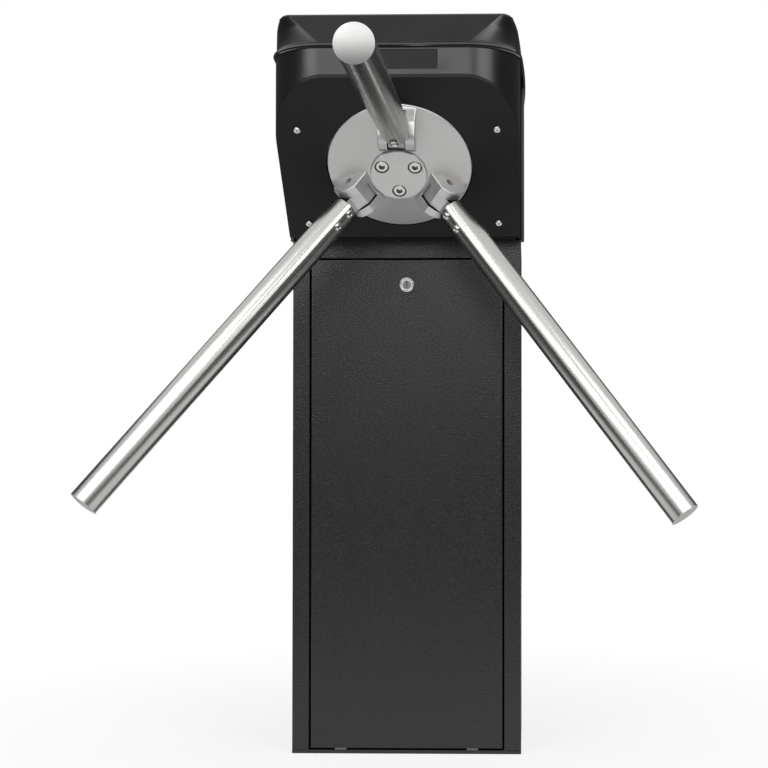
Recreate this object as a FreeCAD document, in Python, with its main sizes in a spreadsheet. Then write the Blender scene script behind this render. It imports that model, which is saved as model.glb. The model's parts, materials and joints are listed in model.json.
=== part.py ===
"""Tripod turnstile, as a parametric document of separate pieces, in millimetres.

+Z is up and -Y is the passage side. The origin is on the floor, in the middle of the anchor bolts.
The tripod turns about an axis that leans out of the sloped front panel. Pieces on that axis are drawn
in the hub frame: x across, y up the panel, z out along the axis. Pieces of an arm are drawn in the arm
frame: the pivot pin lies on its y, and the tube runs out along its z.
"""
import FreeCAD, Part
import os
import re
import Sketcher
from FreeCAD import Placement, Rotation, Vector

SIZES = {
    # Pillar, a folded sheet box that stands on a base plate
    "pillar_width": 320,
    "pillar_depth": 220,
    "pillar_top": 717.7,
    "sheet": 2,
    "flange_wide": 22,
    "base_thick": 5,
    "anchor_x": 120,
    "anchor_y": 80,
    "anchor_radius": 7,
    "cable_radius": 25,
    "cable_y": -62,
    # Door, hooked on two tabs at its foot and locked near its head
    "stile_wide": 26,
    "door_width": "=pillar_width-2*stile_wide",
    "door_head": 27.7,
    "door_top": "=pillar_top-door_head",
    "door_gap": 2.5,
    "door_sheet": 1.5,
    "door_depth": 15,
    "frame_depth": 13.2,
    "stop_high": 8,
    "tab_inset": 42,
    "tab_x": "=door_width/2-tab_inset",
    "tab_width": 16,
    "tab_thick": 3,
    "tab_height": 11,
    "tab_foot": 8,
    "tab_setback": 1,
    "tab_side_room": 1,
    "tab_room": 2,
    "lock_drop": 35,
    "lock_z": "=door_top-lock_drop",
    "lock_face": 10.5,
    "lock_proud": 3,
    "lock_edge": 1,
    "lock_thread": 8.5,
    "lock_length": 20,
    "plug_radius": 6,
    "key_wide": 1.4,
    "key_tall": 8,
    "key_deep": 6,
    "cam_reach": 46,
    "cam_wide": 14,
    "cam_thick": 2.5,
    "cam_fit": 0.2,
    # Head, a moulded shell in a front and a rear half under one lid
    "head_front": 319.7,
    "hub_rise": 82.9,
    "hub_height": "=pillar_top+hub_rise",
    "hub_setback": 95,
    "hub_forward": "=head_front-hub_setback",
    "seam_rise": 132.4,
    "head_seam": "=hub_height+seam_rise",
    "head_wall": 3,
    "nose_step": 0.7,
    "nose_half": "=pillar_width/2-nose_step",
    "nose_corner": 69,
    "nose_rear": -98,
    "rear_step": 4.5,
    "rear_half": "=pillar_width/2+rear_step",
    "rear_inset": 0.5,
    "rear_back_half": "=pillar_width/2-rear_inset",
    "collar_deep": 14,
    "collar_fade": 10,
    "lap_room": 0.5,
    "rear_wall": 5,
    "rear_front": -104,
    "rear_corner": 25,
    "floor_thick": 5,
    "floor_room": 6,
    "floor_half": "=pillar_width/2-floor_room",
    "floor_front": -132,
    "floor_rear": 79,
    "floor_window_x": 60,
    "floor_window_front": -100,
    "floor_window_rear": -40,
    "badge_half": 56,
    "badge_drop": 1.5,
    "badge_tall": 25,
    "badge_high": "=head_seam-badge_drop",
    "badge_low": "=badge_high-badge_tall",
    "badge_deep": 1.8,
    "badge_thick": 1.5,
    "badge_fit": 0.2,
    # Lid, with a rounded bead round its foot and a front face that leans back
    "lid_gap": 0.5,
    "lid_foot": "=head_seam+lid_gap",
    "lid_high": 49.5,
    "lid_top": "=lid_foot+lid_high",
    "lid_inset": 3.6,
    "lid_half": "=nose_half-lid_inset",
    "lid_flare": 7.5,
    "lid_widest": "=lid_half+lid_flare",
    "lid_widest_y": -95,
    "lid_lean": 23,
    "lid_wall": 3,
    "bead_high": 5.7,
    "bead_proud": 3.2,
    "hinge_half": 100,
    "hinge_split": 40,
    "hinge_gap": 0.3,
    "hinge_radius": 3.5,
    "hinge_pin": 2,
    "hinge_leaf": 1.5,
    "hinge_leaf_high": 22,
    # Hub axis and the sloped front panel
    "axis_slope": 45,
    "panel_thick": 3,
    "panel_hole": 97,
    "panel_screw_x": 130,
    "panel_screw_up": 57.3,
    "panel_screw_down": 92.7,
    # Hub casting, with three forks for the arms
    "rim_radius": 95.5,
    "rim_back": 4,
    "rim_front": 0.5,
    "cone_top": 18.3,
    "cone_radius": 37.6,
    "boss_radius": 23,
    "boss_back": 12,
    "cap_radius": 37.3,
    "cap_back": 8.8,
    "cap_front": 20.8,
    "cap_edge": 0.8,
    "cap_moat": 39.8,
    "moat_deep": 0.8,
    "cap_sunk": 0.5,
    "cap_screw_circle": 25,
    "rest_angle": -1.5,
    "fork_width": 48,
    "fork_gap": 23.5,
    "fork_floor": 2.5,
    "fork_root": 36,
    "fork_shoulder_r": 52,
    "fork_shoulder_h": 38,
    "fork_brow_r": 68.5,
    "fork_brow_h": 42,
    "fork_chin_r": 86,
    "fork_chin_h": 25.6,
    "fork_toe_r": 90,
    "fork_slot_root": 40.5,
    "fork_slot_through": 70,
    "fork_slot_end": 86,
    "fork_brow_round": 16,
    "fork_edge": 1.5,
    # Arms, tubes on lugs that fold about a pin
    "arm_cone_angle": 42,
    "pin_r": 63.6,
    "pin_h": 18.95,
    "pin_radius": 5,
    "pin_inset": 1.5,
    "pin_fit": 0.05,
    "lug_width": 21,
    "lug_shoulder": 10.5,
    "lug_neck": 18.5,
    "lug_cheek_out": 18.3,
    "lug_cheek_along": 4.5,
    "lug_heel_out": 17.4,
    "lug_heel_along": 13,
    "lug_tail_out": 8,
    "lug_tail_along": 15,
    "lug_crown_out": 4,
    "lug_crown_along": 14.5,
    "lug_brow_out": 12,
    "lug_brow_along": 7,
    "lug_face_along": 6,
    "tube_radius": 19.05,
    "tube_wall": 1.5,
    "tube_start": 27,
    "arm_tip": 540.4,
    "end_cap": 3,
    "end_cap_edge": 1,
    "end_plug": 12,
    "plug_fit": 0.05,
    "lug_plug_end": 72,
    "arm_screw_near": 35.5,
    "arm_screw_far": 59,
    "arm_screw_seat": 0.15,
    "arm_screw_room": 0.2,
    # Screws
    "pan_head": 4.6,
    "pan_high": 3,
    "pan_edge": 1,
    "pan_shank": 2.5,
    "pan_long": 15,
    "pan_socket": 1.5,
    "hex_head": 8,
    "hex_bore": 9.6,
    "hex_high": 8,
    "hex_edge": 0.8,
    "hex_shank": 5,
    "hex_long": 15,
    "hex_socket": 4.6,
    "button_head": 5.25,
    "button_high": 3.3,
    "button_edge": 1.8,
    "button_shank": 3,
    "button_long": 10,
    "button_socket": 2.3,
    # Shaft, bearings and the plate that carries them behind the panel
    "plate_front": 14,
    "plate_thick": 6,
    "plate_half": 138,
    "plate_up": 75,
    "plate_down": 100,
    "cheek_thick": 3,
    "cheek_back": 90,
    "cheek_top_back": 40,
    "boss_post": 7,
    "housing_radius": 36.4,
    "housing_hole": 36.6,
    "housing_front": 10,
    "housing_back": 72,
    "flange_radius": 58,
    "flange_thick": 6,
    "race_radius": 31,
    "race_width": 16,
    "race_lip": 27,
    "race_fit": 0.03,
    "front_race": 12.2,
    "race_gap": 0.2,
    "shaft_radius": 15,
    "shaft_nose": 14,
    "shaft_nose_end": 8,
    "shaft_back": 112,
    # Gear and damper
    "gear_front": 74,
    "gear_thick": 10,
    "gear_module": 2,
    "gear_teeth": 45,
    "pinion_teeth": 15,
    "tooth_half": 1.25,
    "tooth_rise": 1.8,
    "tooth_fall": 2.5,
    "tooth_angle": 20,
    "damper_radius": 19,
    "damper_front": 30,
    "damper_back": 72,
    "damper_foot": 8,
    "weld_in": 1,
    "pinion_stub": 4,
    "pinion_stub_long": 12,
    # Lock disc, pawls and solenoids
    "disc_front": 90,
    "disc_thick": 6,
    "disc_radius": 55,
    "notch_floor": 46,
    "notch_half": 6,
    "notch_count": 6,
    "pawl_x": 72,
    "pawl_down": 42,
    "pawl_pivot": 5,
    "pawl_half": 8,
    "pawl_tail": 34,
    "pawl_foot": 10,
    "tooth_tip": 57,
    "tooth_low": -1.5,
    "tooth_high": 6.5,
    "tooth_slope": 1,
    "post_back": 98,
    "coil_near": 92,
    "coil_far": 132,
    "coil_y": 28,
    "coil_half": 14,
    "coil_leg": 5,
    "plunger_radius": 4,
    "plunger_fit": 0.1,
    "plunger_gap": 0.3,
    "plunger_end": 118,
    "bore_end": 129,
    "nut_front": 98,
    "nut_thick": 10,
    "nut_flats": 23,
    # Electrics
    "board_half": 70,
    "board_front": -20,
    "board_rear": 76,
    "board_thick": 1.6,
    "board_lift": 8,
    "spacer_radius": 3,
    "spacer_inset": 6,
    "supply_half": 80,
    "supply_thick": 42,
    "supply_low": 200,
    "supply_high": 300,
    "battery_half": 75.5,
    "battery_front": -20,
    "battery_rear": 78,
    "battery_high": 94,
}

FORK_SIDE = [
    # Side of a fork, as (radius from the hub axis, height along it)
    ("fork_root", "rim_front"),
    ("fork_root", "cone_top"),
    ("fork_shoulder_r", "fork_shoulder_h"),
    ("fork_brow_r", "fork_brow_h"),
    ("fork_chin_r", "fork_chin_h"),
    ("fork_toe_r", "rim_front"),
]
LUG_SIDE = [
    # Side of an arm's lug in the arm frame, as (out of the hub, along the tube), from the tube round the pin
    ("-lug_shoulder", "tube_start"),
    ("-lug_shoulder", "lug_neck"),
    ("-lug_cheek_out", "lug_cheek_along"),
    ("-lug_heel_out", "-lug_heel_along"),
    ("-lug_tail_out", "-lug_tail_along"),
    ("lug_crown_out", "-lug_crown_along"),
    ("lug_brow_out", "-lug_brow_along"),
    ("lug_shoulder", "lug_face_along"),
    ("lug_shoulder", "tube_start"),
]
BEAD_LEVELS = [
    # Half-round profile of the lid's bead, as shares of how far it stands out and of its height
    (0.35, 0.0),
    (0.8, 0.15),
    (1.0, 0.5),
    (0.8, 0.85),
    (0.35, 1.0),
]
ARMS = (1, 2, 3)
SIDES = {"left": -1, "right": 1}
FAR = "2*head_front"
TOUCHING = 1e-6

doc = FreeCAD.newDocument("TripodTurnstile")
sheet = doc.addObject("Spreadsheet::Sheet", "Sizes")
for row, (alias, size) in enumerate(SIZES.items(), 1):
    sheet.set(f"A{row}", alias)
    sheet.set(f"B{row}", str(size))
    sheet.setAlias(f"B{row}", alias)
doc.recompute()
nodes = []


# Expressions and placements
def tied(text):
    """The expression with each size's name pointed at its cell."""
    return re.sub(r"\b(?!sin\b|cos\b|tan\b)([a-z]\w*)\b", r"Sizes.\1", text)


def value(text):
    """The number that an expression on the sheet's names gives now."""
    return float(sheet.evalExpression(tied(text)))


def spot(x="0", y="0", z="0"):
    return Vector(value(x), value(y), value(z))


def hub_frame():
    turn = Rotation(Vector(1, 0, 0), 90 + value("axis_slope"))
    return Placement(spot("0", "-hub_forward", "hub_height"), turn)


def hub_in_side_view():
    """The hub frame's y and z as the axes of a sketch on the YZ plane."""
    turn = Rotation(Vector(0, 0, 1), 90 + value("axis_slope"))
    return Placement(spot("-hub_forward", "hub_height"), turn)


def fork_frame(arm):
    """The hub frame turned so that its x points along one fork."""
    angle = 90 + 120 * (arm - 1) + value("rest_angle")
    return hub_frame() * Placement(Vector(), Rotation(Vector(0, 0, 1), angle))


def arm_frame(arm):
    lean = Rotation(Vector(0, 1, 0), value("arm_cone_angle"))
    return fork_frame(arm) * Placement(spot("pin_r", "0", "pin_h"), lean)


# Pieces and their features
def new_body(label, place=None):
    body = doc.addObject("PartDesign::Body", label)
    body.Label = label
    body.Placement = place or Placement()
    nodes.append(body)
    return body


def sketch_on(body, plane, offset="0", place=None):
    """An empty sketch on one of the body's origin planes, moved along its normal or placed on it."""
    sketch = body.newObject("Sketcher::SketchObject", body.Name + "_outline")
    support = next(f for f in body.Origin.OriginFeatures if f.Role == plane + "_Plane")
    sketch.AttachmentSupport = [(support, "")]
    sketch.MapMode = "FlatFace"
    if place:
        sketch.AttachmentOffset = place
    else:
        sketch.setExpression("AttachmentOffset.Base.z", tied(offset))
    return sketch


def tie(sketch, constraint, text):
    index = sketch.addConstraint(constraint)
    sketch.setExpression(f"Constraints[{index}]", tied(text))


def draw_polygon(sketch, points):
    """A closed outline of straight lines, each corner tied to the sheet."""
    first = sketch.GeometryCount
    count = len(points)
    spots = [spot(x, y) for x, y in points]
    for i in range(count):
        sketch.addGeometry(Part.LineSegment(spots[i], spots[(i + 1) % count]), False)
    for i, (x, y) in enumerate(points):
        line = first + i
        following = first + (i + 1) % count
        sketch.addConstraint(Sketcher.Constraint("Coincident", line, 2, following, 1))
        tie(sketch, Sketcher.Constraint("DistanceX", -1, 1, line, 1, value(x)), x)
        tie(sketch, Sketcher.Constraint("DistanceY", -1, 1, line, 1, value(y)), y)


def draw_rectangle(sketch, left, right, low, high):
    draw_polygon(sketch, [(left, low), (right, low), (right, high), (left, high)])


def draw_rounded_nose(sketch, half, front, rear, radius):
    """A rectangle whose two front corners are round."""
    lines = [
        ((f"-{half}+{radius}", front), (f"{half}-{radius}", front)),
        ((half, f"{front}+{radius}"), (half, rear)),
        ((half, rear), (f"-{half}", rear)),
        ((f"-{half}", rear), (f"-{half}", f"{front}+{radius}")),
    ]
    for line, ends in enumerate(lines):
        sketch.addGeometry(Part.LineSegment(spot(*ends[0]), spot(*ends[1])), False)
        for end, (x, y) in enumerate(ends, 1):
            tie(sketch, Sketcher.Constraint("DistanceX", -1, 1, line, end, value(x)), x)
            tie(sketch, Sketcher.Constraint("DistanceY", -1, 1, line, end, value(y)), y)
    inward = value(radius) * (1 - 0.5 ** 0.5)
    for side, (start, end) in ((1, ((0, 2), (1, 1))), (-1, ((3, 2), (0, 1)))):
        middle = Vector(side * (value(half) - inward), value(front) + inward, 0)
        ends = [sketch.getPoint(*place) for place in (start, end)]
        arc = sketch.addGeometry(Part.Arc(ends[0], middle, ends[1]), False)
        sketch.addConstraint(Sketcher.Constraint("Coincident", arc, 1, *start))
        sketch.addConstraint(Sketcher.Constraint("Coincident", arc, 2, *end))
        tie(sketch, Sketcher.Constraint("Radius", arc, value(radius)), radius)


def draw_circle(sketch, x, y, radius):
    line = sketch.addGeometry(Part.Circle(spot(x, y), Vector(0, 0, 1), value(radius)), False)
    tie(sketch, Sketcher.Constraint("DistanceX", -1, 1, line, 3, value(x)), x)
    tie(sketch, Sketcher.Constraint("DistanceY", -1, 1, line, 3, value(y)), y)
    tie(sketch, Sketcher.Constraint("Radius", line, value(radius)), radius)


def add_feature(body, kind, sketch, length, both_ways=False, against=False):
    feature = body.newObject("PartDesign::" + kind, body.Name + "_" + kind.lower())
    feature.Profile = sketch
    feature.setExpression("Length", tied(length))
    feature.SideType = "Symmetric" if both_ways else "One side"
    feature.Reversed = against
    doc.recompute()
    return feature


def pad(body, sketch, length, **how):
    return add_feature(body, "Pad", sketch, length, **how)


def cut(body, sketch, length=FAR, **how):
    """A pocket, to both sides of its sketch unless it is told otherwise, that must take something away."""
    before = body.Shape.Volume
    feature = add_feature(body, "Pocket", sketch, length, **(how or {"both_ways": True}))
    if body.Shape.Volume >= before:
        raise ValueError(body.Label + ": a pocket cuts nothing")
    return feature


def turn(body, points):
    """A solid of revolution about the body's z, from an outline of (radius, height)."""
    sketch = sketch_on(body, "XZ")
    draw_polygon(sketch, points)
    feature = body.newObject("PartDesign::Revolution", body.Name + "_turned")
    feature.Profile = sketch
    feature.ReferenceAxis = (sketch, ["V_Axis"])
    feature.Angle = 360
    doc.recompute()
    return feature


def repeat_round(body, features, count):
    """The features repeated round the body's z."""
    pattern = body.newObject("PartDesign::PolarPattern", body.Name + "_pattern")
    pattern.Originals = features
    axis = next(f for f in body.Origin.OriginFeatures if f.Role == "Z_Axis")
    pattern.Axis = (axis, [""])
    pattern.Angle = 360
    pattern.setExpression("Occurrences", tied(count))
    body.Tip = pattern
    doc.recompute()
    return pattern


def round_edges(body, radius, chosen):
    """A fillet on those edges of the body's tip that the test picks out."""
    base = body.Tip
    names = [f"Edge{i}" for i, edge in enumerate(base.Shape.Edges, 1) if chosen(edge)]
    feature = body.newObject("PartDesign::Fillet", body.Name + "_fillet")
    feature.Base = (base, names)
    feature.setExpression("Radius", tied(radius))
    doc.recompute()
    return feature


def is_upright(edge):
    ends = edge.Vertexes
    return len(ends) == 2 and ends[0].Point.sub(ends[1].Point).cross(Vector(0, 0, 1)).Length < TOUCHING


def is_level_at(edge, height):
    box = edge.BoundBox
    return abs(box.ZMin - height) < TOUCHING and abs(box.ZMax - height) < TOUCHING


def turned_piece(label, points, place=None):
    body = new_body(label, place)
    turn(body, points)
    return body


def block(label, left, right, front, rear, low, high):
    """A plain box between six planes."""
    body = new_body(label)
    sketch = sketch_on(body, "XY", low)
    draw_rectangle(sketch, left, right, front, rear)
    pad(body, sketch, f"{high}-({low})")
    return body


def screw(label, place, kind):
    """A screw of one of the three kinds, whose head stands on z = 0, with a six-sided socket."""
    points = [
        ("0", f"-{kind}_long"),
        (f"{kind}_shank", f"-{kind}_long"),
        (f"{kind}_shank", "0"),
        (f"{kind}_head", "0"),
        (f"{kind}_head", f"{kind}_high-{kind}_edge"),
        (f"{kind}_head-{kind}_edge", f"{kind}_high"),
        ("0", f"{kind}_high"),
    ]
    body = turned_piece(label, points, place)
    sketch = sketch_on(body, "XY", f"{kind}_high")
    draw_polygon(sketch, [(f"{kind}_socket*cos({a})", f"{kind}_socket*sin({a})") for a in range(0, 360, 60)])
    cut(body, sketch, f"{kind}_high")
    return body


# Pillar and door
def make_base_plate():
    half = "pillar_width/2"
    body = block("base_plate", f"-{half}", half, "-pillar_depth/2", "pillar_depth/2", "0", "base_thick")
    holes = sketch_on(body, "XY")
    for x in ("-anchor_x", "anchor_x"):
        for y in ("-anchor_y", "anchor_y"):
            draw_circle(holes, x, y, "anchor_radius")
    draw_circle(holes, "0", "cable_y", "cable_radius")
    cut(body, holes)


def make_pillar_shell():
    half = "pillar_width/2"
    inner = "(pillar_width/2-sheet)"
    opening = "(door_width/2+door_gap)"
    frame = "(door_width/2+door_gap+sheet)"
    head = "door_top+door_gap"
    front, rear = "-pillar_depth/2", "pillar_depth/2"
    body = block("pillar_shell", f"-{half}", half, front, rear, "base_thick", "pillar_top")
    room = sketch_on(body, "XY", "base_thick")
    draw_rectangle(room, f"-{inner}", inner, f"{front}+sheet", f"{rear}-sheet")
    cut(body, room, "pillar_top-base_thick-sheet", against=True)
    # The sheet is folded in round the top, where the head stands on it
    mouth = sketch_on(body, "XY", "pillar_top")
    mouth_x = f"({inner}-flange_wide)"
    draw_rectangle(mouth, f"-{mouth_x}", mouth_x, f"{front}+sheet+flange_wide", f"{rear}-sheet-flange_wide")
    cut(body, mouth, "4*sheet")
    doorway = sketch_on(body, "XZ", rear)
    draw_rectangle(doorway, f"-{opening}", opening, "0", head)
    cut(body, doorway, "4*sheet")
    # The sheet is folded in round three sides of the doorway
    fold = sketch_on(body, "XZ", f"{rear}-sheet")
    outline = [
        (f"-{frame}", "base_thick"),
        (f"-{opening}", "base_thick"),
        (f"-{opening}", head),
        (opening, head),
        (opening, "base_thick"),
        (frame, "base_thick"),
        (frame, f"{head}+sheet"),
        (f"-{frame}", f"{head}+sheet"),
    ]
    draw_polygon(fold, outline)
    pad(body, fold, "frame_depth", against=True)
    # A lip behind the doorway's head stops the closed door
    stop = sketch_on(body, "XZ", f"{rear}-sheet-frame_depth")
    draw_rectangle(stop, f"-{frame}", frame, f"{head}-stop_high", f"{head}+sheet")
    pad(body, stop, "sheet", against=True)


def make_door():
    half = "door_width/2"
    inner = "(door_width/2-door_sheet)"
    front = "-pillar_depth/2"
    foot = "base_thick+door_gap"
    body = block("door_panel", f"-{half}", half, front, f"{front}+door_depth", foot, "door_top")
    tray = sketch_on(body, "XZ", "pillar_depth/2-door_sheet")
    draw_rectangle(tray, f"-{inner}", inner, f"{foot}+door_sheet", "door_top-door_sheet")
    cut(body, tray, "door_depth", against=False)
    lock_hole = sketch_on(body, "XZ", "pillar_depth/2")
    draw_circle(lock_hole, "0", "lock_z", "lock_thread")
    cut(body, lock_hole, "4*door_sheet")
    slots = sketch_on(body, "XY", foot)
    for side in ("-1", "1"):
        middle = f"{side}*tab_x"
        draw_rectangle(
            slots,
            f"{middle}-tab_width/2-tab_side_room",
            f"{middle}+tab_width/2+tab_side_room",
            f"{front}+tab_foot-tab_thick-tab_room",
            f"{front}+tab_foot+tab_room",
        )
    cut(body, slots, "4*door_sheet")


def make_door_tabs():
    """Hooks on the base plate that the door's foot stands over."""
    front = "-pillar_depth/2"
    for name, side in SIDES.items():
        body = new_body(f"door_tab_{name}")
        profile = sketch_on(body, "YZ", f"{side}*tab_x")
        outline = [
            (f"{front}+tab_setback", "base_thick"),
            (f"{front}+tab_foot", "base_thick"),
            (f"{front}+tab_foot", "base_thick+tab_height"),
            (f"{front}+tab_foot-tab_thick", "base_thick+tab_height"),
            (f"{front}+tab_foot-tab_thick", "base_thick+door_gap"),
            (f"{front}+tab_setback", "base_thick+door_gap"),
        ]
        draw_polygon(profile, outline)
        pad(body, profile, "tab_width", both_ways=True)


def lock_frame():
    """The lock's axis as z, out of the door's face."""
    turn_out = Rotation(Vector(1, 0, 0), 90)
    return Placement(spot("0", "-pillar_depth/2", "lock_z"), turn_out)


def make_door_lock():
    bore = "plug_radius+plug_fit"
    barrel = [
        (bore, "-lock_length"),
        ("lock_thread", "-lock_length"),
        ("lock_thread", "0"),
        ("lock_face", "0"),
        ("lock_face", "lock_proud-lock_edge"),
        ("lock_face-lock_edge", "lock_proud"),
        (bore, "lock_proud"),
    ]
    turned_piece("lock_barrel", barrel, lock_frame())
    plug_end = "-lock_length-cam_thick"
    plug = [
        ("0", plug_end),
        ("plug_radius", plug_end),
        ("plug_radius", "lock_proud"),
        ("0", "lock_proud"),
    ]
    body = turned_piece("lock_plug", plug, lock_frame())
    key = sketch_on(body, "XY", "lock_proud")
    draw_rectangle(key, "-key_wide/2", "key_wide/2", "-key_tall/2", "key_tall/2")
    cut(body, key, "2*key_deep")
    cam = new_body("lock_cam", lock_frame())
    outline = sketch_on(cam, "XY", "-lock_length-cam_fit")
    draw_rectangle(outline, "-cam_wide/2", "cam_reach", "-cam_wide/2", "cam_wide/2")
    draw_circle(outline, "0", "0", "plug_radius")
    pad(cam, outline, "cam_thick-cam_fit", against=True)


# Head shells
def nose_prism(label):
    """The upright block with two rounded front corners that the nose is cut from."""
    body = new_body(label)
    plan = sketch_on(body, "XY", "pillar_top")
    draw_rounded_nose(plan, "nose_half", "-head_front", "nose_rear", "nose_corner")
    pad(body, plan, "head_seam-pillar_top")
    return body


def cut_beyond_panel(body, near, far):
    """Takes away what lies between two planes that are parallel to the front panel."""
    wedge = sketch_on(body, "YZ", place=hub_in_side_view())
    draw_rectangle(wedge, f"-{FAR}", FAR, near, far)
    cut(body, wedge)


def make_front_shell():
    body = nose_prism("front_shell")
    room = sketch_on(body, "XY", "pillar_top")
    inner = "(nose_half-head_wall)"
    inner_front = "-head_front+head_wall"
    draw_rounded_nose(room, inner, inner_front, "nose_rear+head_wall", "(nose_corner-head_wall)")
    cut(body, room)
    cut_beyond_panel(body, "-panel_thick", FAR)
    badge = sketch_on(body, "XZ", "head_front")
    draw_rectangle(badge, "-badge_half", "badge_half", "badge_low", "badge_high")
    cut(body, badge, "2*badge_deep")


def make_badge_plate():
    """A bare plate let into the nose under the lid."""
    half = "(badge_half-badge_fit)"
    front = "-head_front+badge_deep-badge_thick"
    rear = "-head_front+badge_deep"
    block("badge_plate", f"-{half}", half, front, rear, "badge_low+badge_fit", "badge_high-badge_fit")


def make_front_panel():
    body = nose_prism("front_panel")
    cut_beyond_panel(body, "0", FAR)
    cut_beyond_panel(body, f"-{FAR}", "-panel_thick")
    holes = sketch_on(body, "XY", place=hub_frame())
    draw_circle(holes, "0", "0", "panel_hole")
    for x, y in panel_screw_spots():
        draw_circle(holes, x, y, "pan_shank")
    cut(body, holes, "4*panel_thick")


def panel_screw_spots():
    across = ("-panel_screw_x", "panel_screw_x")
    return [(x, y) for y in ("panel_screw_up", "-panel_screw_down") for x in across]


def make_panel_screws():
    for number, (x, y) in enumerate(panel_screw_spots(), 1):
        place = hub_frame() * Placement(spot(x, y), Rotation())
        screw(f"panel_screw_{number}", place, "pan")


def make_rear_shell():
    """The rear half, with a raised collar round its front edge that shows outside the nose."""
    rear = "pillar_depth/2"
    body = new_body("rear_shell")
    plan = sketch_on(body, "XY", "pillar_top")
    right = [
        ("rear_half", "rear_front"),
        ("rear_half", "rear_front+collar_deep"),
        ("rear_back_half", "rear_front+collar_deep+collar_fade"),
        ("rear_back_half", rear),
    ]
    draw_polygon(plan, right + [(f"-{x}", y) for x, y in reversed(right)])
    pad(body, plan, "head_seam-pillar_top")
    back = value(rear)
    round_edges(body, "rear_corner", lambda e: is_upright(e) and abs(e.BoundBox.YMax - back) < TOUCHING)
    room = sketch_on(body, "XY", "pillar_top")
    lap = "(rear_half-rear_wall)"
    inner = "(rear_back_half-rear_wall)"
    right_inside = [
        (lap, "rear_front"),
        (lap, "nose_rear+lap_room"),
        (inner, "nose_rear+lap_room"),
        (inner, f"{rear}-rear_wall-rear_corner"),
        (f"({inner}-rear_corner)", f"{rear}-rear_wall"),
    ]
    draw_polygon(room, right_inside + [(f"-{x}", y) for x, y in reversed(right_inside)])
    cut(body, room)


def make_head_floor():
    low = "pillar_top"
    high = "pillar_top+floor_thick"
    body = block("head_floor", "-floor_half", "floor_half", "floor_front", "floor_rear", low, high)
    window = sketch_on(body, "XY", "pillar_top")
    draw_rectangle(
        window, "-floor_window_x", "floor_window_x", "floor_window_front", "floor_window_rear"
    )
    cut(body, window, "4*floor_thick")


# Lid and its hinge
def lid_corner(edge_y, radius, bow_middle, bow):
    """Three points of the arc that joins a straight front or back to the bowed right side."""
    toward = 1 if edge_y > bow_middle.y else -1
    middle_y = edge_y - toward * radius
    across = ((bow - radius) ** 2 - (middle_y - bow_middle.y) ** 2) ** 0.5
    middle = Vector(bow_middle.x + across, middle_y, bow_middle.z)
    along = (middle - bow_middle).normalize()
    halfway = (along + Vector(0, toward, 0)).normalize()
    return [middle + Vector(0, toward * radius, 0), middle + halfway * radius, middle + along * radius]


def lid_wire(grow, height):
    """The lid's plan: straight front and back, round corners, bowed sides. The back never grows."""
    flare = value("lid_widest-lid_half")
    bow = (flare**2 + value("head_front+lid_widest_y") ** 2) / (2 * flare)
    bow_middle = Vector(value("lid_widest") - bow, value("lid_widest_y"), height)
    bow += grow
    front = lid_corner(value("-head_front") - grow, value("nose_corner") + grow, bow_middle, bow)
    rear = lid_corner(value("pillar_depth/2") + min(grow, 0), value("rear_corner") + grow, bow_middle, bow)
    side = [front[2], bow_middle + Vector(bow, 0, 0), rear[2]]
    arcs = [front, side, rear[::-1]]
    mirrored = [[Vector(-p.x, p.y, p.z) for p in arc[::-1]] for arc in arcs[::-1]]
    edges = [Part.Arc(*arc) for arc in arcs]
    edges.append(Part.LineSegment(arcs[-1][-1], mirrored[0][0]))
    edges.extend(Part.Arc(*arc) for arc in mirrored)
    edges.append(Part.LineSegment(mirrored[-1][-1], arcs[0][0]))
    return Part.Wire([edge.toShape() for edge in edges])


def lid_block(grow, low, high):
    return Part.Face(lid_wire(grow, low)).extrude(Vector(0, 0, high - low))


def leaning_cut(front, back):
    """A wedge that leans the lid's front face back from the bead to the top."""
    shoulder = value("lid_foot+bead_high")
    top = value("lid_top")
    corners = [(front - back, shoulder), (front, shoulder), (front + back, top), (front - back, top)]
    half = value("lid_widest")
    ring = [Vector(-half, y, z) for y, z in corners]
    return Part.Face(Part.makePolygon(ring + ring[:1])).extrude(Vector(2 * half, 0, 0))


def make_lid():
    """A moulded cover over a bead that is lofted between outlines grown by different amounts."""
    foot = value("lid_foot")
    top = value("lid_top")
    wall = value("lid_wall")
    lean = value("lid_lean")
    front = value("-head_front")
    proud = value("bead_proud")
    high = value("bead_high")
    cover = lid_block(0, foot, top).cut(leaning_cut(front, lean))
    bead = Part.makeLoft([lid_wire(proud * out, foot + high * up) for out, up in BEAD_LEVELS], True, True)
    room = lid_block(-wall, foot - wall, top - wall).cut(leaning_cut(front + wall, lean))
    wide = value(FAR)
    ahead = Part.makeBox(wide, lean + wall, high + wall, Vector(-wide / 2, front, foot - wall))
    piece = doc.addObject("Part::Feature", "lid_shell")
    piece.Label = "lid_shell"
    piece.Shape = cover.fuse(bead).cut(room.cut(ahead)).removeSplitter()
    nodes.append(piece)


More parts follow.
